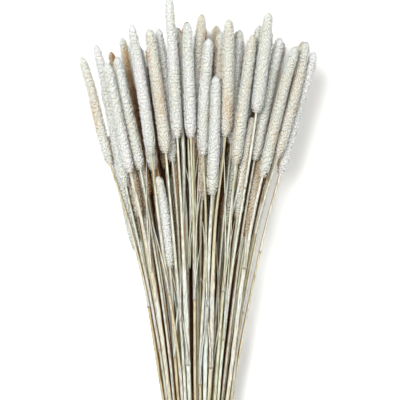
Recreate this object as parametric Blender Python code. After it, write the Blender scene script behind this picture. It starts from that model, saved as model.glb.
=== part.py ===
"""A bunch of dried timothy grass, tied with twine and lying on its side.

The stalks run along Y with their seed heads towards +Y and their cut ends at -Y.
The underside of the tie and the lowest heads rest on the plane Z = 0.
Sizes are in millimetres, with Y counted from the tie, until the meshes are made. The finished meshes are in
metres, and their origin is the middle of the bunch's underside.
"""

import math

import bpy
import numpy as np
from mathutils import Matrix

METRES_PER_MM = 0.001
SEED = 7

# The fan of stalks, by the height Y above the tie
CUT_END = -120.0
RAGGED_ENDS = 9.0
TOP_OF_BUNCH = 450.0
WAIST_HALF_WIDTH = 18.5
FAN_SLOPE = 0.0865
FAN_CURVE = 0.000325
WAIST_HALF_DEPTH = 15.5
DEPTH_SLOPE = 0.067
TAIL_SLOPE = 0.08

# Each layer behind the front one: how many stalks, its reach as a share of the width, its height as one of
# the depth. A layer has three rows, which lie ROW_RISE of the depth apart.
LOWER_LAYERS = (("inner", 36, 0.88, 0.1), ("under", 32, 0.82, -0.65))
ROW_RISE = 0.27

# Stalks of these layers share nodes, up to GROUP_LIMIT in each, so that their nodes are LOWER_NODES in all
GROUP_LIMIT = 3
LOWER_NODES = 31

# One stalk
STEM_RADIUS_LOW = 1.3
STEM_RADIUS_HIGH = 0.85
STEM_TAPER_FROM = 110.0
STEM_SIDES = 5
SHEATH_HALF_WIDTH = 2.0
SHEATH_HALF_THICKNESS = 0.75
SHEATH_EVERY = 6
FLORET_DEPTH = 0.2
FLORET_LIFT = 0.3

# A head: its sides, the turn that puts a point of each ring lowest, and the rings' heights as shares of it
FRONT_HEAD = (8, 0.0, (0.02, 0.1, 0.28, 0.48, 0.68, 0.86, 0.96))
LOWER_HEAD = (6, 0.5, (0.03, 0.12, 0.34, 0.58, 0.81, 0.95))

# Heights at which every stem has a ring
LEVELS = np.array([-120, -12, 12, 75, 140, 205, 265, 325, 385, 460], float)

# The twine
TWINE_GAP = 0.5
TWINE_THICKNESS = 2.0
TWINE_TURNS = 4
TWINE_PITCH = 2.1
TWINE_DIRECTIONS = 24
FLAT_SPOT = 0.3
TIE_LIFT = TWINE_THICKNESS + TWINE_GAP + 0.1
TWINE_RADIUS = 0.95
KNOT_RADIUS = 2.6

# How the stalks are laid out without touching
STALK_GAP = 0.7
STALK_GAP_AT_TIE = 0.5
SWAY_LENGTH = 330.0
STATION_STEP = 10.0
PATH_KNOTS = 9
PASSES = 1200
BOUND_REACH = 60.0

# The heads that show in front: across, tip height above the tie, length, radius.
# They are set by eye, as a florist would, so that the tips make the bunch's ragged outline.
FRONT_HEADS = (
    (-98, 401, 92, 4.7),
    (-87, 411, 120, 4.9),
    (-76, 395, 92, 4.7),
    (-67, 401, 96, 4.9),
    (-56, 427, 108, 5.0),
    (-49, 409, 104, 4.9),
    (-41, 423, 104, 5.4),
    (-32, 424, 112, 4.8),
    (-24, 450, 118, 5.0),
    (-16, 421, 88, 4.8),
    (-8, 428, 96, 4.9),
    (2, 436, 110, 5.0),
    (10, 415, 98, 5.0),
    (20, 421, 108, 5.2),
    (27, 431, 98, 5.6),
    (36, 423, 96, 5.2),
    (45, 418, 108, 5.0),
    (53, 427, 95, 4.8),
    (61, 437, 84, 5.6),
    (70, 417, 104, 5.2),
    (80, 409, 110, 5.0),
    (89, 414, 98, 4.9),
    (100, 405, 104, 5.0),
    (-73, 324, 88, 4.8),
    (-36, 300, 78, 4.6),
    (5, 376, 96, 5.0),
    (13, 384, 100, 4.9),
    (43, 350, 86, 4.4),
)

PALE_HEAD = (0.66, 0.66, 0.56)
TAN_HEAD = (0.52, 0.42, 0.27)
TWINE_COLOUR = (0.36, 0.25, 0.14)


def remove_everything():
    """Empties the file of the objects that it starts with."""
    for item in list(bpy.data.objects):
        bpy.data.objects.remove(item, do_unlink=True)


def half_width(y):
    """Half the bunch's width: a gentle parabola above the tie and a slight flare below it."""
    above = WAIST_HALF_WIDTH + FAN_SLOPE * y + FAN_CURVE * y * y
    below = WAIST_HALF_WIDTH - TAIL_SLOPE * y
    return np.where(y > 0, above, below)


def half_depth(y):
    """Half the bunch's depth, which grows steadily to both sides of the tie."""
    return WAIST_HALF_DEPTH + np.where(y > 0, DEPTH_SLOPE, -TAIL_SLOPE / 2) * y


def head_profile(t):
    """A head's radius as a share of its largest: a short round base, a slight taper and a blunt round tip."""
    rise = np.sqrt(1 - (1 - np.clip(t / 0.11, 0, 1)) ** 2)
    taper = 1 - 0.24 * np.clip((t - 0.35) / 0.65, 0, 1) ** 1.5
    fall = np.sqrt(1 - np.clip((t - 0.86) / 0.14, 0, 1) ** 2.2)
    return rise * taper * fall


def stem_radius(y):
    """A stem is even up to STEM_TAPER_FROM and then narrows towards its head."""
    share = np.clip((y - STEM_TAPER_FROM) / (TOP_OF_BUNCH - 100 - STEM_TAPER_FROM), 0, 1)
    return STEM_RADIUS_LOW + (STEM_RADIUS_HIGH - STEM_RADIUS_LOW) * share


def sheath_share(y):
    """How far a sheath has opened flat: most in the middle of its length, and not at all past its ends."""
    return np.interp(y, (66, 120, 170, 220, 270), (0, 0.6, 1, 0.8, 0))


def make_stalks(random):
    """Lists every stalk's layer, place in the fan and head, with the front ones first."""
    stalks = []
    for i, (across, tip, length, radius) in enumerate(FRONT_HEADS):
        place = across / float(half_width(tip))
        rise = (0.95 - 0.3 * (i % 2)) * math.sqrt(1 - place * place)
        stalks.append(dict(layer="front", u=place, v=rise, tip=tip, length=length, radius=radius))
    for layer, count, reach, rise in LOWER_LAYERS:
        for i in range(count):
            place = reach * (2 * (i + 0.5) / count - 1) + random.uniform(-0.02, 0.02)
            drop = 8 + 112 * random.uniform(0, 1) ** 1.4 + 24 * abs(place)
            stalks.append(dict(
                layer=layer,
                u=place,
                v=rise + ROW_RISE * (i % 3 - 1) + random.uniform(-0.05, 0.05),
                tip=TOP_OF_BUNCH - 6 - drop,
                length=random.uniform(68, 104),
                radius=random.uniform(4.2, 4.9),
            ))
    for i, stalk in enumerate(stalks):
        stalk["sheathed"] = i % SHEATH_EVERY == 2
        stalk["drift"] = random.uniform(-0.07, 0.07)
        stalk["sway"] = random.uniform(0.0, 3.5)
        stalk["phase"] = random.uniform(0.0, 2 * math.pi)
        stalk["cut"] = CUT_END + random.uniform(0.0, RAGGED_ENDS)
    return stalks


def radius_at(stalk, y):
    """The room that a stalk needs at each height, and nothing above its tip."""
    base = stalk["tip"] - stalk["length"]
    stem = stem_radius(y)
    if stalk["sheathed"]:
        stem = stem + sheath_share(y) * (SHEATH_HALF_WIDTH - stem)
    near = np.stack([(y + shift - base) / stalk["length"] for shift in (-4, 0, 4)])
    head = stalk["radius"] * head_profile(np.clip(near, 0, 1)).max(axis=0)
    wide = np.where(y > base - 8, np.maximum(head, stem), stem)
    return np.where(y > stalk["tip"] + 4, -1.0, wide)


def spline_basis(knots, at):
    """Values at the given heights of the natural cubic splines that are 1 at one knot and 0 at the others."""
    n = len(knots)
    step = np.diff(knots)
    system = np.eye(n)
    bend = np.zeros((n, n))
    for i in range(1, n - 1):
        system[i, i - 1 : i + 2] = step[i - 1] / 6, (step[i - 1] + step[i]) / 3, step[i] / 6
        bend[i, i - 1 : i + 2] = 1 / step[i - 1], -1 / step[i - 1] - 1 / step[i], 1 / step[i]
    second = np.linalg.solve(system, bend)
    k = np.clip(np.searchsorted(knots, at) - 1, 0, n - 2)
    rise = (at - knots[k]) / step[k]
    fall = 1 - rise
    unit = np.eye(n)
    square = (step[k] ** 2 / 6)[:, None]
    line = fall[:, None] * unit[k] + rise[:, None] * unit[k + 1]
    curve = (fall ** 3 - fall)[:, None] * second[k] + (rise ** 3 - rise)[:, None] * second[k + 1]
    return line + square * curve


def smooth_moves(between):
    """A matrix that turns moves at the stations into the smooth moves of the LEVELS that fit them best."""
    knots = np.linspace(CUT_END, LEVELS[-1], PATH_KNOTS)
    at_levels = spline_basis(knots, LEVELS)
    return at_levels @ np.linalg.pinv(between @ at_levels)


def wished_paths(stalks):
    """Where each stalk would run at its own share (u, v) of the fan's width and depth, with a slight sway."""
    u, v, drift, sway, phase = np.array([
        [stalk[key] for key in ("u", "v", "drift", "sway", "phase")] for stalk in stalks
    ]).T[:, :, None]
    y = LEVELS[None]
    rise = np.clip(y / TOP_OF_BUNCH, 0, 1)
    wave = sway * rise * np.sin(2 * math.pi * y / SWAY_LENGTH + phase)
    across = (u + drift * (1 - rise)) * half_width(y) + wave
    up = TIE_LIFT + (1 + v) * half_depth(y)
    return np.stack([across, up], axis=2)


def lay_out(stalks):
    """Places each stalk at each of the LEVELS, as (x, z), by pushing apart what would touch.

    A stalk starts at its own share of the fan. In each pass those closer than their radii and a gap are moved
    apart, the stems are drawn together at the tie, what is below the floor is lifted onto it, and what lies
    past a tip moves as the tip does. Only the smooth part of each move is made.
    """
    stations = np.arange(CUT_END, LEVELS[-1] + 1, STATION_STEP)
    radius = np.stack([radius_at(stalk, stations) for stalk in stalks])
    there = radius > 0
    last = np.minimum(np.arange(len(stations))[None], there.sum(axis=1)[:, None] - 1)
    bound = np.where(stations < BOUND_REACH, 0.02, 0.0)[None, :, None]
    gap = np.where(stations < BOUND_REACH, STALK_GAP_AT_TIE, STALK_GAP)[None]
    floor = np.where(np.abs(stations) < 16, TIE_LIFT, 0.05)[None] + radius
    between = np.stack([np.interp(stations, LEVELS, row) for row in np.eye(len(LEVELS))], axis=1)
    smooth = smooth_moves(between)
    first, second = np.triu_indices(len(stalks), 1)
    room = radius[first] + radius[second] + gap
    meet = there[first] & there[second]
    path = wished_paths(stalks)
    wish = np.einsum("ab,nbc->nac", between, path)
    for i in range(PASSES):
        ease = max(0.0, 1 - 1.6 * i / PASSES)
        place = np.einsum("ab,nbc->nac", between, path)
        apart = place[first] - place[second]
        distance = np.sqrt((apart ** 2).sum(axis=2)) + 1e-9
        push = np.where(meet, np.clip(room - distance, 0, None), 0)
        shove = apart * (0.3 * push / distance)[:, :, None]
        move = np.zeros_like(place)
        np.add.at(move, first, shove)
        np.add.at(move, second, -shove)
        move += np.maximum(0.05 * ease, bound) * (wish - place)
        move[:, :, 1] += np.clip(floor - place[:, :, 1] - move[:, :, 1], 0, None) * there
        move = np.take_along_axis(move, last[:, :, None], axis=1)
        path = np.round(path + np.einsum("ab,nbc->nac", smooth, move), 5)
    return path


def path_point(path, y):
    """The stalk's centre at height y, on the straight run between two levels."""
    return np.interp(y, LEVELS, path[:, 0]), np.interp(y, LEVELS, path[:, 1])


def ring(path, y, across, up, sides, turn=0.0):
    """One ring of points round the stalk's centre, level in Y."""
    x, z = path_point(path, y)
    angle = 2 * math.pi * (np.arange(sides) + turn) / sides
    return np.stack([x + across * np.cos(angle), np.full(sides, y), z + up * np.sin(angle)], axis=1)


def head_form(stalk):
    """The sides of a stalk's head, their turn and its rings' heights."""
    return FRONT_HEAD if stalk["layer"] == "front" else LOWER_HEAD


def head_ring(path, stalk, k):
    """One ring of a head, where every second point stands out and up as the tip of a floret."""
    sides, turn, shares = head_form(stalk)
    spacing = stalk["length"] / 8
    y = stalk["tip"] - stalk["length"] * (1 - shares[k])
    radius = stalk["radius"] * head_profile(np.array(shares[k]))
    raised = (np.arange(sides) + k) % 2 == 0
    lifted = y + FLORET_LIFT * spacing * (k < len(shares) - 1)
    outer = ring(path, lifted, radius, radius, sides, turn)
    inner = ring(path, y, radius * (1 - FLORET_DEPTH), radius * (1 - FLORET_DEPTH), sides, turn)
    return np.where(raised[:, None], outer, inner)


def stalk_mesh(path, stalk):
    """Points and faces of a stem with its head: rings joined by triangles, a cut end and a pointed tip."""
    base = stalk["tip"] - stalk["length"]
    rings = []
    for y in [stalk["cut"], *LEVELS[(LEVELS > CUT_END) & (LEVELS < base - 6)]]:
        radius = float(stem_radius(y))
        opened = float(sheath_share(y)) if stalk["sheathed"] else 0.0
        across = radius + opened * (SHEATH_HALF_WIDTH - radius)
        up = radius + opened * (SHEATH_HALF_THICKNESS - radius)
        rings.append(ring(path, y, across, up, STEM_SIDES))
    neck = float(stem_radius(base))
    rings.append(ring(path, base, neck, neck, STEM_SIDES))
    sides, _, shares = head_form(stalk)
    heads = [head_ring(path, stalk, k) for k in range(len(shares))]
    x, z = path_point(path, stalk["tip"])
    points = np.concatenate(rings + heads + [np.array([[x, stalk["tip"], z]])])
    faces = [tuple(range(STEM_SIDES))]
    for k in range(len(rings) - 1):
        faces += band(k * STEM_SIDES, (k + 1) * STEM_SIDES, STEM_SIDES)
    start = len(rings) * STEM_SIDES
    faces += join_unlike(start - STEM_SIDES, STEM_SIDES, start, sides)
    for k in range(len(heads) - 1):
        faces += floret_band(start + k * sides, sides, k)
    last = start + (len(heads) - 1) * sides
    top = len(points) - 1
    faces += [(last + (j + 1) % sides, last + j, top) for j in range(sides)]
    return points, faces


def band(low, high, sides):
    """Triangles between two rings of equal count."""
    faces = []
    for j in range(sides):
        n = (j + 1) % sides
        faces.append((low + j, high + j, low + n))
        faces.append((low + n, high + j, high + n))
    return faces


def floret_band(low, sides, k):
    """Triangles between two rings of a head, folded so that each raised point is a floret's peak."""
    faces = []
    high = low + sides
    for j in range(sides):
        n = (j + 1) % sides
        if (j + k) % 2 == 0:
            faces.append((low + j, high + j, low + n))
            faces.append((low + n, high + j, high + n))
        else:
            faces.append((low + j, high + j, high + n))
            faces.append((low + j, high + n, low + n))
    return faces


def join_unlike(low, low_sides, high, high_sides):
    """Triangles between a ring and a wider one of another count, both starting at the same angle."""
    faces = []
    a = 0
    b = 0
    while a < low_sides or b < high_sides:
        if b == high_sides or (a < low_sides and (a + 1) / low_sides <= (b + 1) / high_sides):
            faces.append((low + a % low_sides, high + b % high_sides, low + (a + 1) % low_sides))
            a += 1
        else:
            faces.append((low + a % low_sides, high + b % high_sides, high + (b + 1) % high_sides))
            b += 1
    return faces


def make_material(name, colour, roughness):
    """A matt dry surface of one colour."""
    material = bpy.data.materials.new(name)
    material.use_nodes = True
    shader = material.node_tree.nodes["Principled BSDF"]
    shader.inputs["Base Color"].default_value = (*colour, 1.0)
    shader.inputs["Roughness"].default_value = roughness
    shader.inputs["Metallic"].default_value = 0.0
    return material


def make_object(name, points, faces, colour=None):
    """A mesh object, turned from millimetres into metres, with its lowest points let down onto the floor."""
    points = np.array(points, float)
    points[points[:, 2] < FLAT_SPOT, 2] = 0.0
    mesh = bpy.data.meshes.new(name)
    mesh.from_pydata((points * METRES_PER_MM).tolist(), [], faces)
    mesh.update()
    mesh.shade_smooth()
    if colour:
        mesh.materials.append(make_material(name, colour, 0.8))
    item = bpy.data.objects.new(name, mesh)
    bpy.context.scene.collection.objects.link(item)
    return item


def joining_lump(one, other):
    """A slim spindle between two stems at Y = 0, sunk into both, where the tie presses them together."""
    a = np.array(path_point(one, 0.0))
    b = np.array(path_point(other, 0.0))
    middle = (a + b) / 2
    along = (b - a) / 2 * 1.05
    side = np.array([-along[1], along[0]]) / np.linalg.norm(along) * 0.7
    flat = [middle - along, middle + side, middle + along, middle - side]
    points = [(p[0], 0.0, p[1]) for p in flat]
    points += [(middle[0], -5.0, middle[1]), (middle[0], 5.0, middle[1])]
    faces = []
    for j in range(4):
        n = (j + 1) % 4
        faces.append((j, n, 4))
        faces.append((n, j, 5))
    return points, faces


def join(body, others):
    """One Boolean union of a body with the objects in a collection, applied, and the others removed."""
    group = bpy.data.collections.new("to_join")
    for item in others:
        group.objects.link(item)
    union = body.modifiers.new("join", "BOOLEAN")
    union.operation = "UNION"
    union.operand_type = "COLLECTION"
    union.collection = group
    bpy.context.view_layer.update()
    evaluated = body.evaluated_get(bpy.context.evaluated_depsgraph_get())
    mesh = bpy.data.meshes.new_from_object(evaluated)
    body.modifiers.remove(union)
    body.data = mesh
    for item in others:
        bpy.data.objects.remove(item, do_unlink=True)
    bpy.data.collections.remove(group)


def choose_groups(stalks, paths):
    """The stalks of each node, and the neighbours at the tie that are joined in it.

    Each stalk starts as a group of its own. The closest two of the lower layers whose groups are still small
    enough are joined, then the next closest, until few enough groups are left.
    """
    waist = np.array([path_point(path, 0.0) for path in paths])
    lower = [i for i, stalk in enumerate(stalks) if stalk["layer"] != "front"]
    options = sorted(
        (round(float(np.linalg.norm(waist[i] - waist[j])), 4), i, j)
        for i in lower for j in lower if i < j
    )
    group = {i: [i] for i in range(len(stalks))}
    joints = []
    left = len(lower)
    for _, i, j in options:
        small = len(group[i]) + len(group[j]) <= GROUP_LIMIT
        if left > LOWER_NODES and small and group[i] is not group[j]:
            joined = group[i] + group[j]
            group.update({k: joined for k in joined})
            joints.append((i, j))
            left -= 1
    return [group[i] for i in range(len(stalks)) if min(group[i]) == i], joints


def build_stalks(stalks, paths):
    """An object for each stalk, or for each few that are pressed together, named for its layer or group."""
    groups, joints = choose_groups(stalks, paths)
    counts = {}
    for group in groups:
        first = group[0]
        kind = stalks[first]["layer"] if len(group) == 1 else ("pair" if len(group) == 2 else "three")
        counts[kind] = counts.get(kind, 0) + 1
        colour = PALE_HEAD if kind == "front" else TAN_HEAD
        name = f"stalk_{kind}_{counts[kind]:02d}"
        item = make_object(name, *stalk_mesh(paths[first], stalks[first]), colour)
        others = [make_object("other", *stalk_mesh(paths[i], stalks[i])) for i in group[1:]]
        others += [make_object("lump", *joining_lump(paths[i], paths[j])) for i, j in joints if i in group]
        if others:
            join(item, others)


def twine_profile():
    """The wound twine's section: (y, thickness) round the edge, with a crest for each turn."""
    half = TWINE_TURNS * TWINE_PITCH / 2
    points = [(-half, 0.0)]
    for turn in range(TWINE_TURNS):
        middle = (turn + 0.5) * TWINE_PITCH - half
        points.append((middle - 0.5, TWINE_THICKNESS))
        points.append((middle + 0.5, TWINE_THICKNESS))
        if turn < TWINE_TURNS - 1:
            points.append((middle + TWINE_PITCH / 2, 0.55 * TWINE_THICKNESS))
    points.append((half, 0.0))
    return points


def build_tie(stalks, paths):
    """Twine wound round the outermost stems: their hull, grown by a gap, swept with the wound profile."""
    reach = TWINE_TURNS * TWINE_PITCH / 2 + 1
    centres = np.array([path_point(path, y) for path in paths for y in (-reach, reach)])
    angles = 2 * math.pi * np.arange(TWINE_DIRECTIONS) / TWINE_DIRECTIONS
    out = np.stack([np.cos(angles), np.sin(angles)], axis=1)
    support = centres[np.argmax(centres @ out.T, axis=0)]
    profile = twine_profile()
    points = []
    for centre, way in zip(support, out):
        for y, thickness in profile:
            x, z = centre + way * (STEM_RADIUS_LOW + TWINE_GAP + thickness)
            points.append((x, y, z))
    rows = len(profile)
    faces = []
    for d in range(TWINE_DIRECTIONS):
        here = d * rows
        there = (d + 1) % TWINE_DIRECTIONS * rows
        for k in range(rows):
            n = (k + 1) % rows
            faces.append((here + k, here + n, there + k))
            faces.append((here + n, there + n, there + k))
    tie = make_object("tie_twine", points, faces, TWINE_COLOUR)
    highest = max(points, key=lambda point: point[2])
    join(tie, build_knot(highest[0], highest[2]))


def tube(route, radii, sides=6):
    """Points and faces of a closed tube: rings square to the route's direction, with flat ends."""
    route = np.array(route, float)
    ahead = np.gradient(route, axis=0)
    ahead /= np.linalg.norm(ahead, axis=1)[:, None]
    side = np.cross(ahead, (0.0, 0.3, 1.0))
    side /= np.linalg.norm(side, axis=1)[:, None]
    over = np.cross(side, ahead)
    angle = 2 * math.pi * np.arange(sides) / sides
    wide = np.array(radii, float)[:, None, None]
    swing = np.cos(angle)[None, :, None] * side[:, None] + np.sin(angle)[None, :, None] * over[:, None]
    points = (route[:, None] + wide * swing).reshape(-1, 3)
    faces = [tuple(range(sides)), tuple(reversed(range(len(points) - sides, len(points))))]
    for k in range(len(route) - 1):
        faces += band(k * sides, (k + 1) * sides, sides)
    return points, faces


def build_knot(x, top):
    """The knot on top of the tie and its two short ends, all sunk into one another."""
    middle = top + 0.4
    knot = [(x + 4 * share, share, middle) for share in (-0.8, -0.45, 0, 0.45, 0.8)]
    right = [(0, 0, 0), (4, 2.5, 0.6), (9, 6, 1.2), (14, 11, 0.6)]
    left = [(0, 0, 0), (-4, -2.5, 0.8), (-8, -7, 1.8), (-10, -13, 1.4)]
    bulge = [KNOT_RADIUS * share for share in (0.6, 0.92, 1, 0.92, 0.6)]
    shapes = [tube(knot, bulge, 8)]
    for end in (right, left):
        shapes.append(tube(np.array(end) + (x, 0, middle), [TWINE_RADIUS] * 4))
    return [make_object(f"knot_{i}", *shape) for i, shape in enumerate(shapes)]


def centre_on_floor():
    """Moves every mesh so that the origin is the middle of the bunch's underside."""
    corners = np.array([tuple(vertex.co) for item in bpy.data.objects for vertex in item.data.vertices])
    low = corners.min(axis=0)
    middle = (low + corners.max(axis=0)) / 2
    for item in bpy.data.objects:
        item.data.transform(Matrix.Translation((-middle[0], -middle[1], -low[2])))


def main():
    remove_everything()
    stalks = make_stalks(np.random.RandomState(SEED))
    paths = lay_out(stalks)
    build_stalks(stalks, paths)
    build_tie(stalks, paths)
    centre_on_floor()


main()
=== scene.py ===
"""The looks of a bunch of dried timothy grass that lies on a pale surface, seen from above."""

import math

import bpy
import numpy as np
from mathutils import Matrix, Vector


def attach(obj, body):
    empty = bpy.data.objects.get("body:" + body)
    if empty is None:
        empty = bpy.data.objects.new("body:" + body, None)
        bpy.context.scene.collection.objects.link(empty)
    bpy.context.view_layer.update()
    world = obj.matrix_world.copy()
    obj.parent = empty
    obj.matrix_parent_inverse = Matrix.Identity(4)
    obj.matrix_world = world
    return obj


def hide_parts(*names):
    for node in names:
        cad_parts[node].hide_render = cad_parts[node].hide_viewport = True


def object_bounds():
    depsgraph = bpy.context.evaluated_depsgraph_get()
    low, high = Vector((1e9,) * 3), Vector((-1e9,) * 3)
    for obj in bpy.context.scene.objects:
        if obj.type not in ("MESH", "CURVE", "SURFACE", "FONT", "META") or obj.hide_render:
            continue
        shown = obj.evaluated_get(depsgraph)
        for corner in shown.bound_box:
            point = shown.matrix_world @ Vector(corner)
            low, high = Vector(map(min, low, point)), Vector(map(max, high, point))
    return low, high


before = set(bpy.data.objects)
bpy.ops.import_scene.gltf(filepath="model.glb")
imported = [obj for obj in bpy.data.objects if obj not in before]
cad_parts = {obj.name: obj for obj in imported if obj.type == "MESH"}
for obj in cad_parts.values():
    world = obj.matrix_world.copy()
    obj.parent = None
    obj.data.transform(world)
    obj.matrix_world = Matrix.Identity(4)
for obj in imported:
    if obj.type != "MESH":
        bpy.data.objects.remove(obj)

CAD_BOX = [list(corner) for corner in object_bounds()]
MM = 0.001
SEED = 11

# The photograph's frame: the width that it takes in, and how far its lower edge lies above the tie
FRAME_WIDTH = 340 * MM
FRAME_EDGE_ABOVE_TIE = 110 * MM
BUNCH_MIDDLE_HEIGHT = 45 * MM
CAMERA_HEIGHT = 2.4
CAMERA_ASIDE = 1.5 * MM
SENSOR = 36.0

# The tie: its half width, how far from its middle the stalks of a node are apart, and what counts as on the floor
TIE_HALF_WIDTH = 4.2 * MM
TIE_CLEAR = 8 * MM
FLOOR_TOUCH = 0.05 * MM

# The CAD stalks: a stem's ring has five corners, so it reaches 0.951 of its radius up
CAD_STEM_CORNERS = 5
CAD_STEM_REACH_UP = 0.951

# Centre lines and the bunch's outline: distance of their places, the places that a centre line goes on past its
# ends, the reach and width of the bell that smooths it, in places, and the stalks that an outline needs
PATH_STEP = 4 * MM
PATH_SPARE = 12
SMOOTH_REACH = 9
SMOOTH_WIDTH = 3.5
OUTLINE_STEP = 8 * MM
OUTLINE_STALKS = 12

# Painted light and shade on the stalks, as the bunch adds it up: darker deep in the bunch and on faces turned into
# it, lighter away from the tie, and the painted light that it adds along a head up to the tip
FACING_WEIGHT = 0.5
LIGHT_WEIGHT = 0.4
LIGHT_LENGTH = 300 * MM
LIGHT_LIMIT = 0.75
PAINTED_LIGHT_START = 0.7
PAINTED_LIGHT_RANGE = 0.65
PAINTED_LIGHT_TO_TIP = 0.35

# Each layer's stalks: their heads' tones, 0 tan to 1 silver, and how much more painted shade their heads get
HEAD_TONES = {"front": (0.45, 1.0), "lower": (0.1, 0.8)}
HEAD_PAINTED_LIGHT = {"front": 0.0, "lower": -0.15}
LUCK = 0.12

# Stems: the share of the CAD radius, the distance of rings, the hollow of the cut end, painted dark inside as
# shade, and the painted light on its cut face
STEM_SIDES = 8
OPENED_SIDES = 12
STEM_SHARE = 0.96
STEM_STEP = 6 * MM
RING_GAP = 0.3 * MM
STEM_INTO_HEAD = 3 * MM
BORE_SHARE = 0.55
BORE_DEPTH = 4 * MM
CUT_PAINTED_LIGHT = 0.9

# Joints, in millimetres where given as a range or a list: above the cut, apart, and the rings round each
FIRST_JOINT = (40, 190)
JOINT_GAPS = (120, 200)
JOINT_RINGS = (-2.2, -1.1, -0.4, 0.4, 1.1, 2.2)
JOINT_BELOW_HEAD = 45 * MM
JOINT_SWELLING = 0.25
JOINT_HALF_LENGTH = 1.6 * MM
JOINT_DARK_LENGTH = 0.8 * MM
JOINT_DARKNESS = (0.2, 1.0)

# Sheaths: how long in millimetres, how thick, how they end, and how far they colour the stem
SHEATH_LENGTHS = (45, 85)
SHEATH_THICKNESS = 0.2 * MM
SHEATH_END = 4 * MM
SHEATH_TINT = 0.6

# Opened sheaths: the half width from which one counts as open, the waves of its rims, their shift, in radians, to
# either side and from stem to stem, and the ridge that the stem makes: how much it rises, how far the rest falls,
# and the width of the bell between them
OPENED_FROM = 1.4 * MM
OPENED_RANGE = 0.8 * MM
OPENED_RIM = 1.6 * MM
WAVE_LENGTH = 23 * MM
WAVE_DEPTH = 0.16
WAVE_RIM_SHIFT = 1.1
WAVE_STEM_SHIFT = 9
RIDGE_RISE = 0.35
RIDGE_FALL = 0.68
RIDGE_WIDTH = 0.42

# Heads: the core as a share of the head's radius, and each layer's husks: how many round, and their pitch
CORE_SHARE = 0.74
CORE_SIDES = 10
CORE_RINGS = 24
HUSK_ROWS = {"front": (13, 1.5 * MM), "lower": (11, 1.7 * MM)}
HUSK_HALF_WIDTH = 0.5 * MM
HUSK_SPREAD = 0.5 * MM
HUSK_LENGTHS = (1.5 * MM, 4.6 * MM)
HUSK_REACH = 1.15
HUSK_ROOT = 0.5

# A husk's rims: their place along it, their share of its lean, and how far they stand off it, in half widths
RIM_PLACE = 0.48
RIM_LEAN = 0.6
RIM_LIFT = 0.6

# What chance does to a husk: its shift in rows and in places round, and its length, spread and half width
ROW_LUCK = 0.3
PLACE_LUCK = 0.2
LENGTH_LUCK = (0.72, 1.05)
SPREAD_LUCK = (0.7, 1.3)
WIDTH_LUCK = (0.8, 1.15)

# How husks slant from the way out, in degrees: mostly, how much more at the tip, how much less at the base, and by
# chance; a husk is lengthened for its slant as far as this cosine of it
HUSK_SLANT = 52
SLANT_AT_TIP = 32
SLANT_AT_BASE = 24
SLANT_LUCK = 9
LEAST_COSINE = 0.35

# The share of husks that stand out, by how much, and the dome that bounds all of them at the tip
LONG_HUSKS = 0.14
LONG_HUSKS_BY = 0.3
DOME_WIDTH = 1.12
DOME_HEIGHT = 0.12
DOME_ORDER = 2.6

# Loose leaf strips: how many, their lengths and their half widths in millimetres, short ones and long ones
LEAF_SIZES = ((30, (34, 78), (0.8, 1.5)), (9, (95, 150), (0.8, 1.1)))
LEAF_THICKNESS = 0.25 * MM
LEAF_LEAST_HALF = 0.12 * MM
LEAF_FOLD = 0.35
LEAF_LUCK = 0.05
LEAF_ABOVE_TIE = 105 * MM
LEAF_BELOW_HEAD = 70 * MM
LEAF_RISE = 0.55

# Loose sheaths on top of the stems, in millimetres: x and height above the tie of both ends, half width, tone
LOOSE_SHEATHS = (
    (-12.5, 258, -14.5, 366, 2.0, 0.9), (-7.0, 222, -8.5, 332, 1.6, 0.5), (25, 258, 38, 312, 1.8, 0.6),
    (-18, 183, -33, 262, 0.9, 0.95), (8.5, 196, 3.5, 262, 1.3, 0.3),
)
SHEATH_RISE = 0.72

# Twine
STEM_RADIUS_AT_TIE = 1.3 * MM
TWINE_GAP = 0.5 * MM
TWINE_RADIUS = 1.0 * MM
TWINE_LAY = 5.5 * MM
TWINE_STEP = 0.7 * MM
TWINE_SIDES = 12
TWINE_TURNS = 4
PLACES_A_TURN = 60

# The patterns' real sizes. A straw's ribs and a jute fibre are about 0.15 mm wide, too fine to show in the render,
# so streaks and fibres are drawn wider; streaks are STREAK_STRETCH times as long as wide. Patches are where sun and
# damp have coloured a stalk differently, and along a head they are HUSK_PATCH_STRETCH times as long as wide.
STREAK_WIDTH = 0.7 * MM
STREAK_STRETCH = 125
STRAW_PATCH = 45 * MM
HUSK_PATCH = 14 * MM
HUSK_PATCH_STRETCH = 4
FIBRE_WIDTH = 1.1 * MM


def head_profile(t):
    """A head's radius as a share of its largest, at shares t of its length.

    The base is a quarter ellipse 0.11 long. From 0.35 on a power of 1.5 tapers it by 0.15 in all, and from 0.88 on
    it falls to the tip as the root of 1 less a power of 2.6, which is blunt and round.
    """
    rise = np.sqrt(1 - (1 - np.clip(t / 0.11, 0, 1)) ** 2)
    taper = 1 - 0.15 * np.clip((t - 0.35) / 0.65, 0, 1) ** 1.5
    fall = np.sqrt(1 - np.clip((t - 0.88) / 0.12, 0, 1) ** 2.6)
    return rise * taper * fall


def smooth_step(x):
    """Goes from 0 to 1 with level ends."""
    x = np.clip(x, 0, 1)
    return x * x * (3 - 2 * x)


def unit(v):
    """Vectors scaled to length 1 along the last axis."""
    return v / np.maximum(np.linalg.norm(v, axis=-1, keepdims=True), 1e-12)


def round_angles(sides):
    """Evenly spaced angles of a ring."""
    return 2 * math.pi * np.arange(sides) / sides


def ways_out(angle, side, up):
    """The ways out from a line, a row for each of its places: at each angle from its side towards its up."""
    return np.cos(angle)[None, :, None] * side[:, None] + np.sin(angle)[None, :, None] * up[:, None]


def growth_and_painted_light_shares(tone, dark, spread, painted_light):
    """The four shares of each point, of arrays or single numbers that fit one another.

    Tone is the stalk's own, 0 tan to 1 silver. The next two are the joint's darkness, which also paints shade in
    the hollow of a cut end, and the sheath on straw, and the husk's own tint and its share from root to tip on a
    head, which the husks' colour turns into painted shade at the root. The last is painted light and shade, 0 dark
    to 1 pale.
    """
    return np.stack(np.broadcast_arrays(tone, dark, spread, painted_light), axis=-1)


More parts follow.
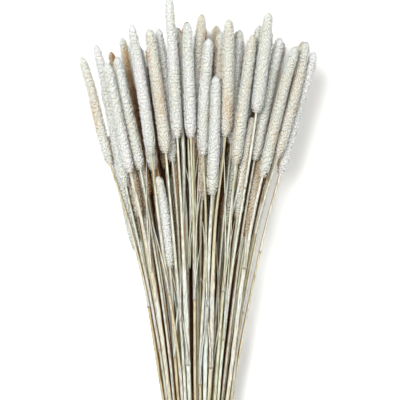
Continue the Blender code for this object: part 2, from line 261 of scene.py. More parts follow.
def node_mesh(node):
    """A CAD node's points and triangles, with equal points made one."""
    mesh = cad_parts[node].data
    points = np.empty(len(mesh.vertices) * 3, np.float32)
    mesh.vertices.foreach_get("co", points)
    mesh.calc_loop_triangles()
    corners = np.empty(len(mesh.loop_triangles) * 3, np.int32)
    mesh.loop_triangles.foreach_get("vertices", corners)
    places, index = np.unique(np.round(points.reshape(-1, 3).astype(float), 5), axis=0, return_inverse=True)
    return places, index.reshape(-1)[corners].reshape(-1, 3)


def tie_height():
    """Where along the bunch the tie's middle is, which is that of the strips where its turns touch the floor."""
    points, _ = node_mesh("tie_twine")
    strips = points[points[:, 2] < FLOOR_TOUCH, 1]
    return (strips.min() + strips.max()) / 2


def connected(points, faces):
    """A label for each point, the same for all that triangles join: the lowest spreads until none changes."""
    label = np.arange(len(points))
    while True:
        spread = label.copy()
        np.minimum.at(spread, faces.ravel(), np.repeat(label[faces].min(axis=1), 3))
        if (spread == label).all():
            return label
        label = spread


def rings_of(points):
    """The rings of a CAD stalk: place along the bunch, centre, reach across and up, and number of points."""
    heights, which = np.unique(np.round(points[:, 1], 4), return_inverse=True)
    rows = []
    for k, y in enumerate(heights):
        ring = points[which == k]
        centre = ring.mean(axis=0)
        reach = np.abs(ring - centre).max(axis=0)
        rows.append((y, centre[0], centre[2], reach[0], reach[2] / CAD_STEM_REACH_UP, len(ring)))
    return np.array(rows)


def read_stalks(node):
    """The stalks that a CAD node holds, one to three, each as its rings from the cut end to the tip.

    The stalks of a node touch only under the tie. So each side of the tie falls into separate stalks, and an
    upper part goes on in the lower part whose uppermost ring is nearest.
    """
    points, faces = node_mesh(node)
    halves = []
    for side in (1, -1):
        beyond = side * (points[:, 1] - TIE_Y) > TIE_CLEAR
        kept = faces[beyond[faces].all(axis=1)]
        label = connected(points, kept)
        halves.append([rings_of(points[label == one]) for one in np.unique(label[kept])])
    upper, lower = halves
    stalks = []
    for rings in upper:
        tail = min(lower, key=lambda low: np.hypot(*(low[-1, 1:3] - rings[0, 1:3])))
        stalks.append(np.concatenate([tail, rings]))
    return stalks


class Path:
    """A stalk's centre line, smoothed from its CAD rings, with its directions along, across and over."""

    def __init__(self, rings):
        self.cut = rings[0, 0]
        self.tip = rings[-1, 0]
        stem = rings[:, 5] == CAD_STEM_CORNERS
        self.base = rings[stem][-1, 0]
        self.radius = np.maximum(rings[~stem, 3], rings[~stem, 4] * CAD_STEM_REACH_UP).max()
        self.stem = rings[stem]
        spare = PATH_SPARE * PATH_STEP
        self.y = np.arange(self.cut - spare, self.tip + spare, PATH_STEP)
        centre = np.stack([self.extended(rings[:, 0], rings[:, k]) for k in (1, 2)])
        weight = np.exp(-0.5 * (np.arange(-SMOOTH_REACH, SMOOTH_REACH + 1) / SMOOTH_WIDTH) ** 2)
        weight /= weight.sum()
        padded = np.pad(centre, ((0, 0), (SMOOTH_REACH, SMOOTH_REACH)), mode="reflect", reflect_type="odd")
        self.centre = np.stack([np.convolve(row, weight, mode="valid") for row in padded])
        self.slope = np.gradient(self.centre, PATH_STEP, axis=1)

    def extended(self, at, values):
        """Values at the path's places, straight between rings and straight on past the ends."""
        inside = np.interp(self.y, at, values)
        low = (values[1] - values[0]) / (at[1] - at[0])
        high = (values[-1] - values[-3]) / (at[-1] - at[-3])
        inside += np.where(self.y < at[0], (self.y - at[0]) * low, 0)
        return inside + np.where(self.y > at[-1], (self.y - at[-1]) * high, 0)

    def at(self, y):
        """Centres and the three directions at the places y."""
        x, z, sx, sz = (np.interp(y, self.y, row) for row in (*self.centre, *self.slope))
        centre = np.stack([x, y, z], axis=-1)
        along = unit(np.stack([sx, np.ones_like(y), sz], axis=-1))
        across = unit(np.cross(along, (0.0, 0.0, 1.0)))
        return centre, along, across, np.cross(across, along)


class Bunch:
    """The outline of the whole bunch: at each place along it an ellipse through its outermost stalks."""

    def __init__(self, paths):
        y = np.arange(min(path.cut for path in paths), max(path.tip for path in paths), OUTLINE_STEP)
        there = np.array([(y >= path.cut) & (y <= path.tip) for path in paths])
        many = there.sum(axis=0) > OUTLINE_STALKS
        centres = np.array([path.at(y)[0][many][:, [0, 2]] for path in paths])
        centres = np.where(there[:, many, None], centres, np.nan)
        low, high = np.nanmin(centres, axis=0), np.nanmax(centres, axis=0)
        self.y = y[many]
        self.middle = (low + high) / 2
        self.half = (high - low) / 2

    def height(self, y, rise):
        """The height above the floor that is a share of the way from the bunch's middle to its top."""
        return np.interp(y, self.y, self.middle[:, 1] + rise * self.half[:, 1])

    def painted_light_at(self, centre, way, luck):
        """Painted light and shade on a stalk, 0 dark brown to 1 pale, at centres where its surface faces the way
        given.

        It paints the shade that the stalks cast on one another: darker deep in the bunch and on faces turned into
        it.
        A place's share of the way out is its distance from the bunch's middle in the ellipse's own measure.
        To it comes FACING_WEIGHT times the cosine between the way that the surface faces and the way out of the
        bunch, and LIGHT_WEIGHT for each LIGHT_LENGTH away from the tie, up to LIGHT_LIMIT of it, as painted light
        where the looser bunch would let the light in. The result rises smoothly from PAINTED_LIGHT_START over
        PAINTED_LIGHT_RANGE.
        """
        middle, half = (
            np.stack([np.interp(centre[:, 1], self.y, row) for row in rows.T], axis=-1)
            for rows in (self.middle, self.half)
        )
        share = (centre[:, [0, 2]] - middle) / half
        facing = (unit(share / half) * way[:, [0, 2]]).sum(axis=-1)
        light = LIGHT_WEIGHT * np.minimum(np.abs(centre[:, 1] - TIE_Y) / LIGHT_LENGTH, LIGHT_LIMIT)
        total = np.linalg.norm(share, axis=-1) + FACING_WEIGHT * facing + light + luck
        return smooth_step((total - PAINTED_LIGHT_START) / PAINTED_LIGHT_RANGE)


def grid_faces(rows, columns):
    """Four-cornered faces of a tube of rows by columns of points, facing out, closed round its columns."""
    row, column = np.meshgrid(np.arange(rows - 1), np.arange(columns), indexing="ij")
    after = (column + 1) % columns
    low = row * columns
    high = low + columns
    return np.stack((low + column, high + column, high + after, low + after), axis=-1).reshape(-1, 4)


def fan_faces(first, columns, centre, outward):
    """Triangles from a ring to a point at its middle; outward tells which way the ring turns."""
    here = first + np.arange(columns)
    after = first + (np.arange(columns) + 1) % columns
    ends = (after, here) if outward else (here, after)
    return np.stack([*ends, np.full(columns, centre)], axis=-1)


class Shape:
    """Points, faces, a material number for each face and four shares for each point, gathered piece by piece."""

    def __init__(self):
        self.points, self.quads, self.triangles, self.shares = [], [], [], []
        self.count = 0

    def add(self, points, shares, quads=None, triangles=None, material=0, flat=0):
        """Adds a surface, its faces counted from its own first point, with so many first quads shaded flat."""
        for faces, kept, crisp in ((quads, self.quads, flat), (triangles, self.triangles, 0)):
            if faces is not None:
                kept.append((faces + self.count, material, np.arange(len(faces)) >= crisp))
        self.points.append(points)
        self.shares.append(shares)
        self.count += len(points)

    def add_tube(self, rings, centre, shares, material=0):
        """Adds a tube through rings of points, closed by a fan to the first and to the last of its centres."""
        rows, columns = rings.shape[:2]
        points = np.concatenate([rings.reshape(-1, 3), centre[:1], centre[-1:]])
        shares = np.broadcast_to(shares, (rows * columns, 4))
        count = len(points)
        ends = [
            fan_faces(0, columns, count - 2, False),
            fan_faces((rows - 1) * columns, columns, count - 1, True),
        ]
        shares = np.concatenate([shares, shares[[0, -1]]])
        self.add(points, shares, grid_faces(rows, columns), np.concatenate(ends), material)

    def build(self, name, materials):
        """Makes the mesh object, kept within the bunch's box, with the shares, painted light among them, as its
        attribute.
        """
        points = np.clip(np.concatenate(self.points), *CAD_BOX)
        groups = self.quads + self.triangles
        corners = np.concatenate([faces.ravel() for faces, _, _ in groups])
        sizes = np.concatenate([np.full(len(faces), faces.shape[1]) for faces, _, _ in groups])
        numbers = np.concatenate([np.full(len(faces), material) for faces, material, _ in groups])
        smooth = np.concatenate([soft for _, _, soft in groups])
        mesh = bpy.data.meshes.new(name)
        mesh.vertices.add(len(points))
        mesh.vertices.foreach_set("co", points.astype(np.float32).ravel())
        mesh.loops.add(len(corners))
        mesh.loops.foreach_set("vertex_index", corners.astype(np.int32))
        mesh.polygons.add(len(sizes))
        mesh.polygons.foreach_set("loop_start", (np.cumsum(sizes) - sizes).astype(np.int32))
        mesh.polygons.foreach_set("material_index", numbers.astype(np.int32))
        mesh.polygons.foreach_set("use_smooth", smooth)
        mesh.update(calc_edges=True)
        growth_and_painted_light = mesh.attributes.new("growth_and_painted_light", "FLOAT_COLOR", "POINT")
        growth_and_painted_light.data.foreach_set("color", np.concatenate(self.shares).astype(np.float32).ravel())
        for material in materials:
            mesh.materials.append(material)
        item = bpy.data.objects.new(name, mesh)
        bpy.context.scene.collection.objects.link(item)
        return item


def joint_places(path, random):
    """Where a stem's joints are: the first above the cut end, three more after it, none close under the head."""
    first = path.cut + random.uniform(*FIRST_JOINT) * MM
    joints = first + np.cumsum([0, *(random.uniform(*JOINT_GAPS, 3) * MM)])
    return joints[joints < path.base - JOINT_BELOW_HEAD]


def ring_places(path, joints):
    """Where a stem's rings are: evenly from the cut end into the head, and closer round its joints."""
    end = path.base + STEM_INTO_HEAD
    close = [joint + shift * MM for joint in joints for shift in JOINT_RINGS]
    y = np.unique(np.concatenate([np.arange(path.cut, end, STEM_STEP), close, [end]]))
    return y[np.concatenate([[True], np.diff(y) > RING_GAP])]


def add_stem(shape, path, bunch, tone, luck, random):
    """A straw: an ellipse carried along the path, swollen at its joints, thicker where a sheath wraps it.

    The radius is STEM_SHARE of that of the CAD rings, plus a bell at each joint, plus the sheath's thickness from
    the joint up to its ragged end. Where the CAD ring is flat, a sheath has opened: the stem stays a ridge along
    the middle, since the height of each point falls off as a bell of its distance from there, and the rims wave as
    a sine of the place along the stem. At the cut end two more rings, BORE_SHARE as wide, one level with the cut
    and one BORE_DEPTH in, make the straw hollow.
    """
    path.joints = joint_places(path, random)
    y = ring_places(path, path.joints)
    across = np.interp(y, path.stem[:, 0], path.stem[:, 3])
    over = np.interp(y, path.stem[:, 0], path.stem[:, 4])
    sides = OPENED_SIDES if (across > OPENED_RIM).any() else STEM_SIDES
    angle = round_angles(sides)
    bell, ring, sheath = (np.zeros_like(y) for _ in range(3))
    for joint in path.joints:
        bell += np.exp(-((y - joint) / JOINT_HALF_LENGTH) ** 2)
        ring += random.uniform(*JOINT_DARKNESS) * np.exp(-((y - joint) / JOINT_DARK_LENGTH) ** 2)
        length = random.uniform(*SHEATH_LENGTHS) * MM
        sheath = np.maximum(sheath, (y > joint) * (1 - smooth_step((y - joint - length) / SHEATH_END)))
    opened = smooth_step((across - OPENED_FROM) / OPENED_RANGE)[:, None]
    phase = y[:, None] * 2 * math.pi / WAVE_LENGTH + np.sign(np.cos(angle)) * WAVE_RIM_SHIFT + tone * WAVE_STEM_SHIFT
    wave = 1 + WAVE_DEPTH * opened * np.sin(phase)
    thick = (STEM_SHARE * (1 + JOINT_SWELLING * bell))[:, None]
    wrap = (SHEATH_THICKNESS * sheath)[:, None]
    wide = (across[:, None] * thick + wrap) * np.cos(angle) * wave
    ridge = 1 - opened * RIDGE_FALL * (1 - np.exp(-(np.cos(angle) / RIDGE_WIDTH) ** 2))
    high = (over[:, None] * (thick + RIDGE_RISE * opened) + wrap) * np.sin(angle) * ridge
    centre, along, side, up = path.at(y)
    swing = wide[:, :, None] * side[:, None] + high[:, :, None] * up[:, None]
    way = ways_out(angle, side, up).reshape(-1, 3)
    # Painted shade round the stem: darker deep in the bunch and on the side that faces into it
    painted_light = bunch.painted_light_at(np.repeat(centre, sides, axis=0), way, luck)
    dark = np.repeat(np.clip(ring, 0, 1), sides)
    wrapped = np.repeat(np.maximum(SHEATH_TINT * sheath, opened[:, 0]), sides)
    bore = centre[0] + BORE_SHARE * swing[0]
    inward = BORE_DEPTH * along[:1]
    points = np.concatenate([bore + inward, bore, (centre[:, None] + swing).reshape(-1, 3), centre[:1] + inward])
    # The hollow's walls get the dark joint colour and the darkest painted shade; the cut face is painted nearly pale
    bore_shade = np.array([[tone, 1.0, 0.0, 0.0]])
    level = np.array([[tone, 0.0, 0.0, CUT_PAINTED_LIGHT]])
    outside = growth_and_painted_light_shares(tone, dark, wrapped, painted_light)
    shares = np.concatenate([np.repeat(bore_shade, sides, axis=0), np.repeat(level, sides, axis=0), outside, bore_shade])
    faces = grid_faces(len(y) + 2, sides)
    faces = np.concatenate([faces[sides : 2 * sides], faces[:sides], faces[2 * sides :]])
    shape.add(points, shares, faces, fan_faces(0, sides, len(points) - 1, False), flat=sides)


def add_core(shape, path, bunch, tone, luck):
    """The slim core of a head: a turned body of CORE_SHARE of the head's profile, its rings closer at both ends.

    It is coloured like an even husk near its root, which is painted shade that shows between the husks.
    """
    t = np.clip(0.5 - 0.5 * np.cos(np.linspace(0.02, math.pi, CORE_RINGS)), 0.002, 0.9995)
    centre, _, side, up = path.at(path.base + t * (path.tip - path.base))
    way = ways_out(round_angles(CORE_SIDES), side, up)
    radius = CORE_SHARE * path.radius * head_profile(t)
    # Painted light that grows towards the tip, darker towards the base as shade
    luck = luck + PAINTED_LIGHT_TO_TIP * np.repeat(t, CORE_SIDES)
    painted_light = bunch.painted_light_at(np.repeat(centre, CORE_SIDES, axis=0), way.reshape(-1, 3), luck)
    rings = centre[:, None] + radius[:, None, None] * way
    shape.add_tube(rings, centre, growth_and_painted_light_shares(tone, 0.5, 0.1, painted_light), 1)


def add_husks(shape, path, bunch, tone, luck, form, random):
    """The florets of a head: pairs of pointed husks in staggered rows round the core, slanting up and out.

    Each husk is a folded diamond of four points: its root, its long tip and two rims about its middle, which stand
    off the line between root and tip. A root lies at HUSK_ROOT of the reach, and the tips come to the head's full
    profile, read a little further on, so that the head keeps the outline of its CAD solid. The slant is less over
    the head's first 0.06 and steepens over its last tenth, where a dome bounds the husks: its height is the root of
    order DOME_ORDER of 1 less the square of the way out.
    """
    round_count, pitch = HUSK_ROWS[form]
    length = path.tip - path.base
    rows = int(length / pitch)
    row = np.repeat(np.arange(rows), round_count)
    column = np.tile(np.arange(round_count), rows)
    count = len(row)
    t = (row + 0.5 + random.uniform(-ROW_LUCK, ROW_LUCK, count)) / rows
    turn = 2 * math.pi * (column + 0.5 * (row % 2) + random.uniform(-PLACE_LUCK, PLACE_LUCK, count)) / round_count
    y = path.base + t * length
    slant = HUSK_SLANT + SLANT_AT_TIP * smooth_step((t - 0.9) / 0.1) - SLANT_AT_BASE * smooth_step((0.06 - t) / 0.06)
    slant = np.radians(slant + random.uniform(-SLANT_LUCK, SLANT_LUCK, count))
    reach = HUSK_REACH * path.radius * head_profile(np.clip(t + 0.015, 0.0, 0.99))
    root = HUSK_ROOT * reach
    long = (reach - root) / np.maximum(np.cos(slant), LEAST_COSINE) * random.uniform(*LENGTH_LUCK, count)
    long = long * (1 + LONG_HUSKS_BY * (random.uniform(0, 1, count) > 1 - LONG_HUSKS))
    long = np.clip(long, *HUSK_LENGTHS)
    share_out = (root + long * np.cos(slant)) / (DOME_WIDTH * path.radius)
    dome = 1 - DOME_HEIGHT + DOME_HEIGHT * np.clip(1 - share_out ** 2, 0, 1) ** (1 / DOME_ORDER)
    y = y - np.clip(y + long * np.sin(slant) - path.base - dome * length, 0, None)
    centre, along, side, up = path.at(y)
    out = np.cos(turn)[:, None] * side + np.sin(turn)[:, None] * up
    round_way = np.cross(along, out)
    ahead = out * np.cos(slant)[:, None] + along * np.sin(slant)[:, None]
    outer = np.cross(round_way, ahead)
    start = centre + out * root[:, None]
    own = random.uniform(0, 1, count)
    # Painted light and shade: darker deep in the bunch and on faces turned into it, lighter towards the tip
    painted_light = bunch.painted_light_at(centre, out, luck + PAINTED_LIGHT_TO_TIP * t)
    # Each husk's root is painted darker than its tip, as shade between the husks
    root_to_tip = np.array([0.0, 0.55, 0.55, 1.0])
    shares = growth_and_painted_light_shares(tone, own[:, None], root_to_tip, painted_light[:, None]).reshape(-1, 4)
    faces = 4 * np.arange(count)[:, None, None] + np.array([[1, 2, 3], [0, 2, 1], [0, 3, 2], [0, 1, 3]])
    for sign in (-1, 1):
        lean = (sign * HUSK_SPREAD * random.uniform(*SPREAD_LUCK, count))[:, None] * round_way
        half = (HUSK_HALF_WIDTH * random.uniform(*WIDTH_LUCK, count))[:, None]
        middle = start + ahead * (RIM_PLACE * long)[:, None] + RIM_LEAN * lean + RIM_LIFT * half * outer
        rims = [middle - half * round_way, middle + half * round_way]
        tip = start + ahead * long[:, None] + lean
        points = np.stack([start, *rims, tip], axis=1).reshape(-1, 3)
        shape.add(points, shares, triangles=faces.reshape(-1, 3), material=1)


def build_stalks(random):
    """Replaces each CAD stalk node by its stalks with jointed stems and bristly heads."""
    nodes = {
        node: [Path(rings) for rings in read_stalks(node)]
        for node in sorted(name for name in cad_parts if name.startswith("stalk_"))
    }
    paths = [path for held in nodes.values() for path in held]
    bunch = Bunch(paths)
    materials = [straw_material(), floret_material()]
    for node, held in nodes.items():
        shape = Shape()
        form = "front" if "front" in node else "lower"
        for path in held:
            tone = random.uniform(*HEAD_TONES[form])
            stem_tone = random.uniform(0.0, 1.0)
            luck = random.uniform(-LUCK, LUCK)
            add_stem(shape, path, bunch, stem_tone, luck, random)
            # Lower heads get more painted shade
            luck += HEAD_PAINTED_LIGHT[form]
            add_core(shape, path, bunch, tone, luck)
            add_husks(shape, path, bunch, tone, luck, form, random)
        piece = shape.build("fine_" + node, materials)
        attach(piece, "root")
        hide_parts(node)
    return paths, bunch, materials[0]


def add_strip(shape, bunch, centre, side, up, twist, half, tone):
    """A thin strip along a line of centres, closed at both ends.

    Across it is a flat V of four points: two rims at plus and minus the half width, and two points of its fold
    LEAF_THICKNESS apart, raised by LEAF_FOLD of the half width. The twist turns it from side towards up.
    """
    flat = np.cos(twist)[:, None] * side + np.sin(twist)[:, None] * up
    crest = np.cos(twist)[:, None] * up - np.sin(twist)[:, None] * side
    half = np.maximum(half, LEAF_LEAST_HALF)[:, None]
    fold = LEAF_FOLD * half * crest
    thick = 0.5 * LEAF_THICKNESS * crest
    rims = (centre + half * flat, centre - half * flat)
    rings = np.stack([rims[0], centre + fold + thick, rims[1], centre + fold - thick], axis=1)
    # Painted shade: strips that lie deeper in the bunch are darker
    painted_light = np.repeat(bunch.painted_light_at(centre, up, LEAF_LUCK), 4)
    shape.add_tube(rings, centre, growth_and_painted_light_shares(tone, 0.0, 0.5, painted_light))


def add_leaf(shape, path, joint, bunch, lengths, widths, random):
    """A narrow dry leaf strip that leaves its stem at a joint, lies along it, drifts to one side and twists.

    Its middle line is the stem's own, lifted by 1.5 mm at the joint and by 3.7 mm at the tip, in step with the
    share gone, and moved sideways by that share to the power of 1.6. The twist grows in step with it too. The half
    width falls as the share left to the power of 0.55, to a point, and starts narrow, at 0.35 of itself.
    """
    length = random.uniform(*lengths) * MM
    sign = random.choice((-1, 1))
    drift = sign * random.uniform(0.06, 0.2) * length
    share = np.linspace(0, 1, 26)
    centre, _, side, up = path.at(joint + share * length)
    centre = centre + up * ((1.5 + 2.2 * share) * MM)[:, None] + side * (drift * share ** 1.6)[:, None]
    twist = random.uniform(-0.4, 0.4) + sign * random.uniform(0.5, 2.4) * share
    half = random.uniform(*widths) * MM * (1 - share) ** 0.55 * (0.35 + 0.65 * smooth_step(share / 0.15))
    add_strip(shape, bunch, centre, side, up, twist, half, random.uniform(0, 1))


def add_loose_sheath(shape, bunch, x0, y0, x1, y1, half_width, tone):
    """An opened sheath that lies on the stems between two places, bowed sideways by half a sine, 1.2 mm high.

    It lies SHEATH_RISE of the way from the bunch's middle to its top, and rolls to and fro as a sine of the share
    gone. Its half width is the square root of a half sine over its length.
    """
    share = np.linspace(0, 1, 30)
    y = TIE_Y + (y0 + (y1 - y0) * share) * MM
    x = (x0 + (x1 - x0) * share + 1.2 * np.sin(math.pi * share)) * MM
    centre = np.stack([x, y, bunch.height(y, SHEATH_RISE)], axis=1)
    along = unit(np.gradient(centre, axis=0))
    side = unit(np.cross(along, (0.0, 0.0, 1.0)))
    half = half_width * MM * np.sqrt(np.sin(math.pi * (0.03 + 0.94 * share)))
    add_strip(shape, bunch, centre, side, np.cross(side, along), 0.5 * np.sin(5 * share + x0), half, tone)


def lies_on_top(path, joint, bunch):
    """Whether a joint is clear of the tie and of its head, and near the top of the bunch."""
    if not TIE_Y + LEAF_ABOVE_TIE < joint < path.base - LEAF_BELOW_HEAD:
        return False
    return path.at(np.array([joint]))[0][0, 2] > bunch.height(joint, LEAF_RISE)


def build_leaves(paths, bunch, straw, random):
    """Adds dry leaf strips at joints of stems that lie near the top of the bunch, and the loose sheaths."""
    places = [(path, joint) for path in paths for joint in path.joints if lies_on_top(path, joint, bunch)]
    shape = Shape()
    for count, lengths, widths in LEAF_SIZES:
        for k in random.permutation(len(places))[:count]:
            add_leaf(shape, *places[k], bunch, lengths, widths, random)
    for measures in LOOSE_SHEATHS:
        add_loose_sheath(shape, bunch, *measures)
    piece = shape.build("leaf_strips", [straw])
    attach(piece, "root")


def linear(code):
    """An sRGB hex colour as linear RGBA."""
    parts = [int(code[i : i + 2], 16) / 255 for i in (1, 3, 5)]
    return (*[p / 12.92 if p <= 0.04045 else ((p + 0.055) / 1.055) ** 2.4 for p in parts], 1.0)


def add_node(tree, kind, settings=None, **links):
    """Adds a shader node, sets its properties and values, and links its inputs, by name or by i and their number."""
    node = tree.nodes.new(kind)
    for key, value in (settings or {}).items():
        if hasattr(node, key):
            setattr(node, key, value)
        else:
            node.inputs[key].default_value = value
    for key, source in links.items():
        tree.links.new(source, node.inputs[int(key[1:]) if key[0] == "i" and key[1:].isdigit() else key])
    return node


def ramp(tree, source, stops):
    """A colour ramp through (place, hex) stops."""
    node = add_node(tree, "ShaderNodeValToRGB", None, Fac=source)
    line = node.color_ramp
    while len(line.elements) < len(stops):
        line.elements.new(0.5)
    for element, (place, code) in zip(line.elements, stops):
        element.position = place
        element.color = linear(code)
    return node.outputs["Color"]


def mixed(tree, first, second, factor, blend="MIX"):
    """Mixes two colours; each of the second and the factor is another node's output or a fixed value."""
    node = add_node(tree, "ShaderNodeMix", {"data_type": "RGBA", "blend_type": blend})
    for key, value in (("A", first), ("B", second), ("Factor", factor)):
        if isinstance(value, bpy.types.NodeSocket):
            tree.links.new(value, node.inputs[key])
        else:
            node.inputs[key].default_value = value
    return node.outputs["Result"]


def noise(tree, vector, size, detail):
    """A noise whose patches are about the given size, as its output from 0 to 1."""
    node = add_node(tree, "ShaderNodeTexNoise", {"Scale": 1 / size, "Detail": detail}, Vector=vector)
    return node.outputs["Fac"]


def stretched(tree, vector, times):
    """Coordinates in which a pattern is drawn out along the bunch so many times."""
    node = add_node(tree, "ShaderNodeMapping", {"Scale": (1.0, 1 / times, 1.0)}, Vector=vector)
    return node.outputs["Vector"]


def roughen(tree, shader, height, strength, distance):
    """Lets the light catch a surface as if the height given stood out of it."""
    bump = add_node(tree, "ShaderNodeBump", {"Strength": strength, "Distance": distance}, Height=height)
    tree.links.new(bump.outputs["Normal"], shader.inputs["Normal"])


def new_material(name):
    """An empty material: its node tree, its Principled shader and its Object coordinates."""
    material = bpy.data.materials.new(name)
    material.use_nodes = True
    tree = material.node_tree
    place = add_node(tree, "ShaderNodeTexCoord")
    return material, tree, tree.nodes["Principled BSDF"], place.outputs["Object"]


def growth_and_painted_light_outputs(tree):
    """The point attribute as its four shares: tone, dark or own tint, sheath or way to the tip, painted light and
    shade.
    """
    growth_and_painted_light = add_node(tree, "ShaderNodeAttribute", {"attribute_name": "growth_and_painted_light"})
    parts = add_node(tree, "ShaderNodeSeparateColor", None, Color=growth_and_painted_light.outputs["Color"])
    return (*(parts.outputs[name] for name in ("Red", "Green", "Blue")), growth_and_painted_light.outputs["Alpha"])


def straw_material():
    """Dried grass straw: a smooth, waxy stalk, streaked lengthwise and darker at its joints, with painted shade.

    It gives the eye stems of many pale tones side by side, tan, green, lilac and silver, with a silky sheen in
    fine lines along them, thin brown rings, and painted warm brown shade deep in the bunch and inside the cut ends.
    """
    material, tree, shader, place = new_material("dried_straw")
    tone, dark, sheath, painted_light = growth_and_painted_light_outputs(tree)
    streaks = noise(tree, stretched(tree, place, STREAK_STRETCH), STREAK_WIDTH, 3.0)
    patches = noise(tree, place, STRAW_PATCH, 2.0)
    colour = ramp(tree, tone, (
        (0.0, "#B89C6C"), (0.15, "#C6B592"), (0.3, "#CACAAE"), (0.45, "#CBD6CB"), (0.6, "#D4CCC8"),
        (0.75, "#D4DAC8"), (0.88, "#CED8DB"), (1.0, "#DEE4DE"),
    ))
    colour = mixed(tree, colour, linear("#C2C6AC"), patches)
    sheath_colour = ramp(tree, patches, ((0.3, "#CDD4D8"), (0.5, "#D2D0C8"), (0.7, "#C6C0A8")))
    colour = mixed(tree, colour, sheath_colour, sheath)
    colour = mixed(tree, colour, ramp(tree, streaks, ((0.34, "#A89A84"), (0.56, "#FFFFFF"))), 0.75, "MULTIPLY")
    # Painted shade: dark brown deep in the bunch and on faces turned into it, pale outside
    painted_shade = ramp(tree, painted_light, ((0.0, "#6E3A1A"), (0.45, "#B07C4C"), (0.8, "#DCC6AA"), (0.98, "#F0F2F0")))
    colour = mixed(tree, colour, painted_shade, 1.0, "MULTIPLY")
    # The dark joint colour, on the joint rings and as painted shade on the walls of the hollow cut ends
    colour = mixed(tree, colour, linear("#5A4024"), dark)
    tree.links.new(colour, shader.inputs["Base Color"])
    roughen(tree, shader, streaks, 0.4, 0.2 * MM)
    shader.inputs["Roughness"].default_value = 0.5
    shader.inputs["IOR"].default_value = 1.45
    return material


def floret_material():
    """Dried timothy husks: papery scales, cream at the middle and palest at the bristle, painted darker at the root.

    They give the eye a soft, matt, velvety head, silver, cream or tan by its own tone and in patches, with painted
    warm shade between the husks and painted brown shade where heads lie against one another and deep in the bunch.
    """
    material, tree, shader, place = new_material("timothy_husks")
    tone, own, to_tip, painted_light = growth_and_painted_light_outputs(tree)
    patches = noise(tree, stretched(tree, place, HUSK_PATCH_STRETCH), HUSK_PATCH, 2.0)

    # The hue's place in the ramp: the head's tone plus 1.6 times the patches and 0.36 times the husk's own tint,
    # less 0.98, which is what those two come to on average
    own_shift = add_node(tree, "ShaderNodeMath", {"operation": "MULTIPLY_ADD"}, i0=own)
    own_shift.inputs[1].default_value = 0.36
    own_shift.inputs[2].default_value = -0.98
    drift = add_node(
        tree, "ShaderNodeMath", {"operation": "MULTIPLY_ADD"}, i0=patches, i2=own_shift.outputs["Value"]
    )
    drift.inputs[1].default_value = 1.6
    hue = add_node(tree, "ShaderNodeMath", {"operation": "ADD"}, i0=tone, i1=drift.outputs["Value"])
    colour = ramp(tree, hue.outputs["Value"], (
        (0.0, "#CCB896"), (0.22, "#DED5C2"), (0.4, "#E4E2D8"), (0.55, "#E4E7E0"), (0.72, "#E2E9E3"),
        (0.88, "#E6ECEC"), (1.0, "#EBEFF1"),
    ))
    # Painted shade: each husk darker at its root, where the husks shade one another
    shade = ramp(tree, to_tip, ((0.0, "#C2B6A6"), (0.35, "#ECE8E2"), (1.0, "#F7F7F9")))
    colour = mixed(tree, colour, shade, 1.0, "MULTIPLY")
    # Painted shade: darker deep in the bunch, on faces turned into it and where heads lie against one another
    painted_shade = ramp(tree, painted_light, ((0.0, "#BE8E66"), (0.4, "#DEBE9E"), (0.75, "#F2E6D6"), (0.96, "#FFFFFF")))
    colour = mixed(tree, colour, painted_shade, 1.0, "MULTIPLY")
    tree.links.new(colour, shader.inputs["Base Color"])
    shader.inputs["Roughness"].default_value = 0.75
    shader.inputs["IOR"].default_value = 1.45
    return material


def twine_material():
    """Jute twine: two hairy plies of brown bast fibre, twisted and matt.

    It gives the eye a rough, warm brown cord whose fibres break up the light.
    """
    material, tree, shader, place = new_material("jute_two_ply")
    fibres = noise(tree, place, FIBRE_WIDTH, 4.0)
    colour = ramp(tree, fibres, ((0.3, "#7A5B38"), (0.5, "#A98658"), (0.7, "#CDAF82")))
    tree.links.new(colour, shader.inputs["Base Color"])
    roughen(tree, shader, fibres, 0.7, 0.3 * MM)
    shader.inputs["Roughness"].default_value = 0.9
    return material


def twisted_twine(shape, route):
    """Two plies twisted round each other along a route, as one tube.

    Its section is a circle whose radius goes twice round from 0.68 to 1 of TWINE_RADIUS and back, as the size of a
    cosine does, and which turns once in each TWINE_LAY.
    """
    gone = np.concatenate([[0], np.cumsum(np.linalg.norm(np.diff(route, axis=0), axis=1))])
    at = np.arange(0, gone[-1], TWINE_STEP)
    centre = np.stack([np.interp(at, gone, route[:, k]) for k in range(3)], axis=1)
    ahead = unit(np.gradient(centre, axis=0))
    side = unit(np.cross(ahead, (0.0, 1.0, 0.12)))
    angle = round_angles(TWINE_SIDES)
    twist = 2 * math.pi * at / TWINE_LAY
    radius = TWINE_RADIUS * (0.68 + 0.32 * np.abs(np.cos(angle[None] - twist[:, None])))
    rings = centre[:, None] + radius[:, :, None] * ways_out(angle, side, np.cross(side, ahead))
    shape.add_tube(rings, centre, (0.5, 0.5, 0.5, 1.0))


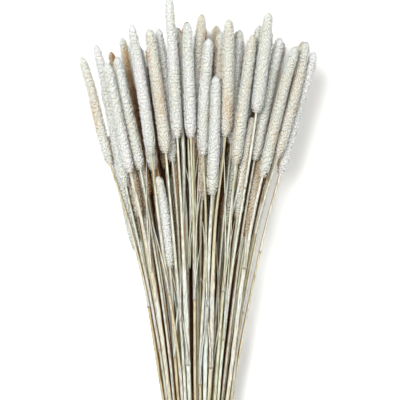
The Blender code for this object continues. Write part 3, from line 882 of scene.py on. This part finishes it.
def build_tie(paths):
    """Twine wound round the outermost stems, which its turns follow, with a knot on top and two short ends."""
    centres = np.array([path.at(np.array([TIE_Y]))[0][0][[0, 2]] for path in paths])
    turns = np.linspace(0, TWINE_TURNS, PLACES_A_TURN * TWINE_TURNS)
    angle = math.pi / 2 + 2 * math.pi * turns
    way = np.stack([np.cos(angle), np.sin(angle)], axis=1)
    support = centres[np.argmax(centres @ way.T, axis=0)]
    rim = support + way * (STEM_RADIUS_AT_TIE + TWINE_GAP + TWINE_RADIUS)
    weight = np.ones(5) / 5
    rim = np.stack([np.convolve(np.pad(rim[:, k], 2, mode="edge"), weight, mode="valid") for k in (0, 1)], axis=1)
    rim[:, 1] = np.maximum(rim[:, 1], TWINE_RADIUS)
    y = TIE_Y - TIE_HALF_WIDTH + TWINE_RADIUS + turns / TWINE_TURNS * 2 * (TIE_HALF_WIDTH - TWINE_RADIUS)
    shape = Shape()
    twisted_twine(shape, np.stack([rim[:, 0], y, rim[:, 1]], axis=1))
    add_knot(shape, rim[0, 0], rim[:, 1].max() + TWINE_RADIUS)
    piece = shape.build("wound_twine", [twine_material()])
    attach(piece, "root")
    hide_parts("tie_twine")


def add_knot(shape, x, top):
    """An overhand knot: a trefoil of twine pressed flat, and two ends that leave it over the stems.

    The trefoil is the sum of a circle and of one 1.1 times as wide that turns twice as fast the other way, and it
    rises and falls three times as a sine. The ends, 14 and 12 mm long, bend along the bunch by the share gone to
    the power of 1.6, and arch by half a sine.
    """
    s = np.linspace(0, 2 * math.pi, 70)
    loop = np.stack([
        x + 1.25 * MM * (np.sin(s) + 1.1 * np.sin(2 * s)),
        TIE_Y + 1.15 * MM * (np.cos(s) - 1.1 * np.cos(2 * s)),
        top + 0.3 * MM - 0.8 * MM * np.sin(3 * s),
    ], axis=1)
    twisted_twine(shape, loop)
    share = np.linspace(0, 1, 24)
    for sign, long in ((1, 14), (-1, 12)):
        end = np.stack([
            x + sign * long * MM * share,
            TIE_Y + sign * 11 * MM * share ** 1.6,
            top + (0.6 + 1.2 * np.sin(math.pi * share)) * MM,
        ], axis=1)
        twisted_twine(shape, end)


def build_floor():
    """A plain pale surface under the bunch, painted board: matt and even, so that only soft shadows show on it."""
    mesh = bpy.data.meshes.new("surface")
    half = 10.0
    mesh.from_pydata([(-half, -half, 0), (half, -half, 0), (half, half, 0), (-half, half, 0)], [], [(0, 1, 2, 3)])
    floor = bpy.data.objects.new("surface", mesh)
    bpy.context.scene.collection.objects.link(floor)
    material, _, shader, _ = new_material("pale_board")
    shader.inputs["Base Color"].default_value = linear("#F4F4F2")
    shader.inputs["Roughness"].default_value = 0.9
    mesh.materials.append(material)


def add_area_light(name, place, target, size, power):
    """A square soft light aimed at a point."""
    light = bpy.data.lights.new(name, "AREA")
    light.size = size
    light.energy = power
    item = bpy.data.objects.new(name, light)
    item.location = place
    item.rotation_euler = (Vector(target) - Vector(place)).to_track_quat("-Z", "Y").to_euler()
    bpy.context.scene.collection.objects.link(item)


def light_scene():
    """A large soft light from the upper left, a weaker one from the right, and a dim white surround."""
    middle = (0, 0.1, 0)
    add_area_light("key", (-0.72, 0.62, 2.27), middle, size=1.1, power=73)
    add_area_light("fill", (1.2, 0.2, 2.1), middle, size=1.8, power=26)
    world = bpy.data.worlds.new("surround")
    bpy.context.scene.world = world
    world.use_nodes = True
    back = world.node_tree.nodes["Background"]
    back.inputs["Color"].default_value = (1, 1, 1, 1)
    back.inputs["Strength"].default_value = 0.5
    bpy.context.scene.view_settings.view_transform = "Standard"


def place_camera():
    """Looks straight down with the heads at the top of the picture, on the stretch that the photograph shows."""
    camera = bpy.data.cameras.new("camera")
    camera.sensor_width = SENSOR
    camera.lens = SENSOR * (CAMERA_HEIGHT - BUNCH_MIDDLE_HEIGHT) / FRAME_WIDTH
    camera.clip_end = 20
    item = bpy.data.objects.new("camera", camera)
    item.location = (CAMERA_ASIDE, TIE_Y + FRAME_EDGE_ABOVE_TIE + FRAME_WIDTH / 2, CAMERA_HEIGHT)
    bpy.context.scene.collection.objects.link(item)
    bpy.context.scene.camera = item


TIE_Y = tie_height()

place_camera()
build_floor()
light_scene()
random = np.random.RandomState(SEED)
stalk_paths, outline, straw = build_stalks(random)
build_leaves(stalk_paths, outline, straw, random)
build_tie(stalk_paths)
